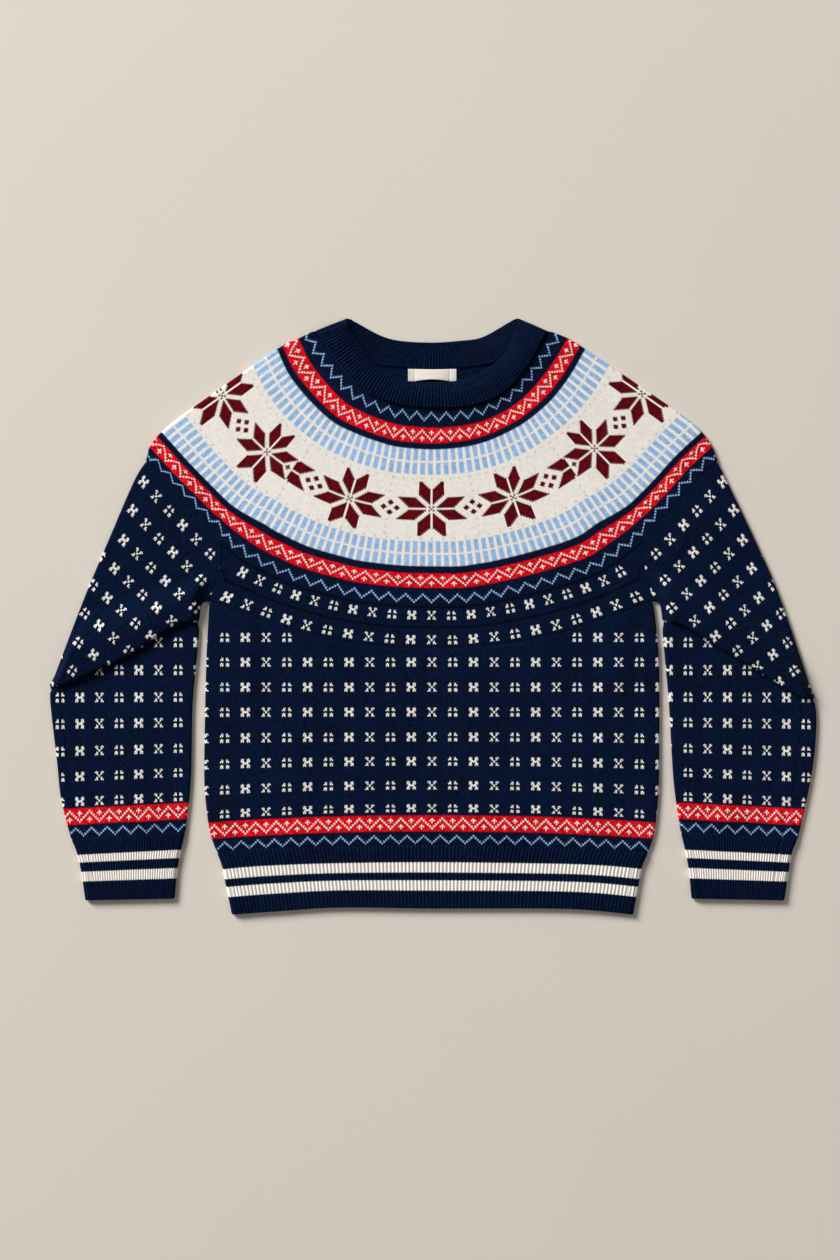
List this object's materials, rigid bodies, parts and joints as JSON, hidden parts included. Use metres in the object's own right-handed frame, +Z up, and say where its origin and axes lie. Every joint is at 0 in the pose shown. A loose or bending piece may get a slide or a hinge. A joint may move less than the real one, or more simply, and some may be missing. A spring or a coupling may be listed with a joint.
{
  "type": "fair isle jumper laid flat",
  "caption": "Long-sleeved crew-neck jumper in stranded knit, laid flat, with a round patterned yoke, spotted body and sleeves, and ribbed neck, cuffs and hem.",
  "frame": {"origin": "middle of the jumper's bounding box, on the surface that it lies on", "axes": "+X to the viewer's right across the sleeves, +Y from the hem to the neck, +Z up from the surface"},
  "size_m": [0.8574, 0.6677, 0.0153],
  "materials": {
    "yoke_knit": "stranded wool knit, matt, cream with burgundy, navy and light blue",
    "body_knit": "stranded wool knit, matt, navy with small cream dots and a red border",
    "sleeve_knit": "stranded wool knit, matt, navy with small cream dots and a red border",
    "welt_rib": "single rib in wool, matt, navy with two cream stripes",
    "cuff_rib": "single rib in wool, matt, navy with two cream stripes",
    "neck_rib": "doubled single rib in wool, matt, navy",
    "label_tape": "plain woven tape, satin, cream"
  },
  "bodies": {
    "root": {"yoke_front": "yoke_knit", "yoke_back": "yoke_knit", "body_front": "body_knit", "body_back": "body_knit", "hem_front": "welt_rib", "hem_back": "welt_rib", "sleeve_left": "sleeve_knit", "sleeve_right": "sleeve_knit", "cuff_left": "cuff_rib", "cuff_right": "cuff_rib", "neckband": "neck_rib", "neck_label": "label_tape"}
  },
  "joints": []
}
